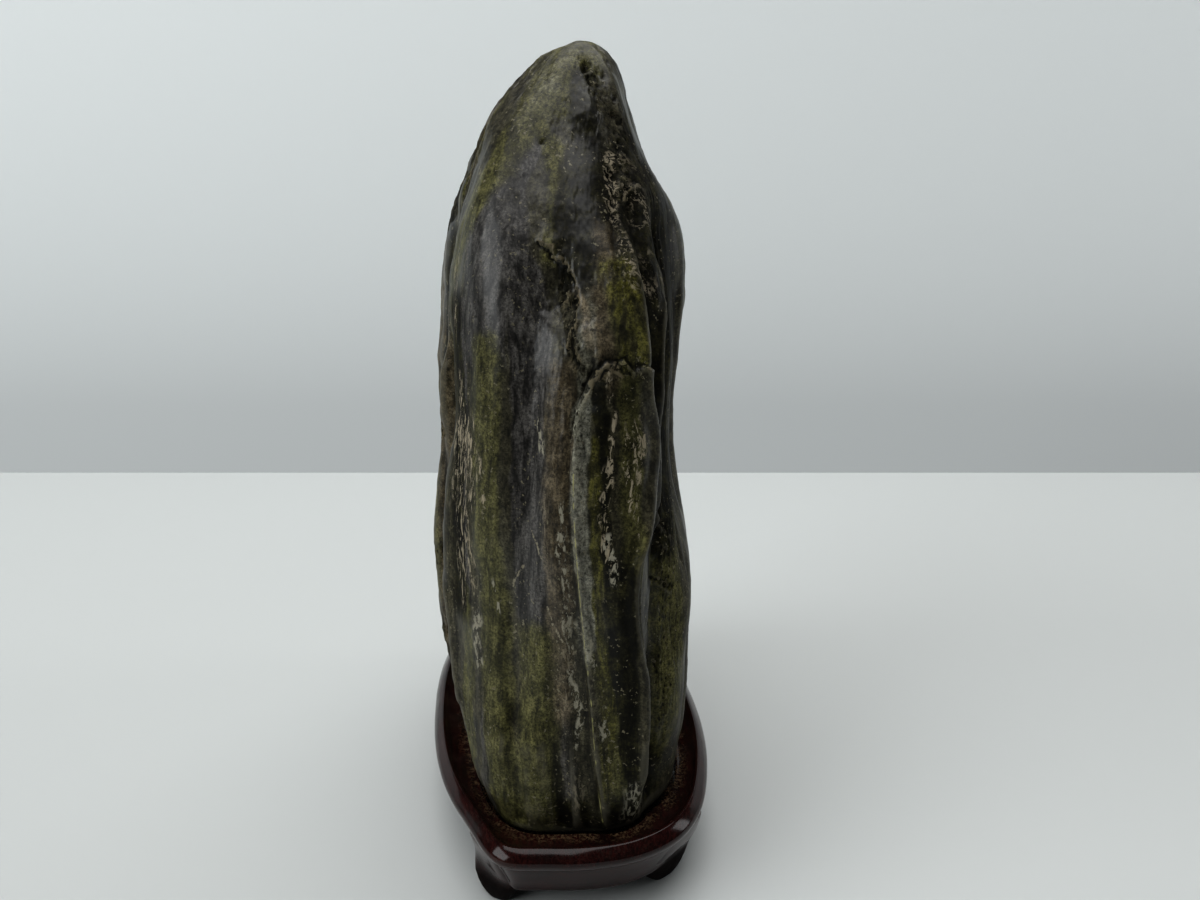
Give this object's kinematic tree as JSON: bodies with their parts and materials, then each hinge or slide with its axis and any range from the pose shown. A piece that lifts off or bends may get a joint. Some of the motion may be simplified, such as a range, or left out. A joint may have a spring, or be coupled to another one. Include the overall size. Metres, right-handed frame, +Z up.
{
  "type": "scholars rock with stand",
  "caption": "Tall narrow river-worn viewing stone, fluted from foot to peak, resting in the carved seat of a low lacquered wooden stand with a rolled rim and short feet.",
  "frame": {"origin": "on the ground, under the middle of the stand's outline", "axes": "+Z up along the rock's height; -Y out of the rock's narrow fluted face, +Y along the stand's long side to its back; +X to the right of that face"},
  "size_m": [0.101, 0.1822, 0.266],
  "materials": {
    "river_stone": "satin, waxed, olive and purple-grey bands",
    "lacquered_wood": "gloss dark red-brown lacquer"
  },
  "bodies": {
    "root": {"rock": "river_stone", "stand": "lacquered_wood"}
  },
  "joints": []
}
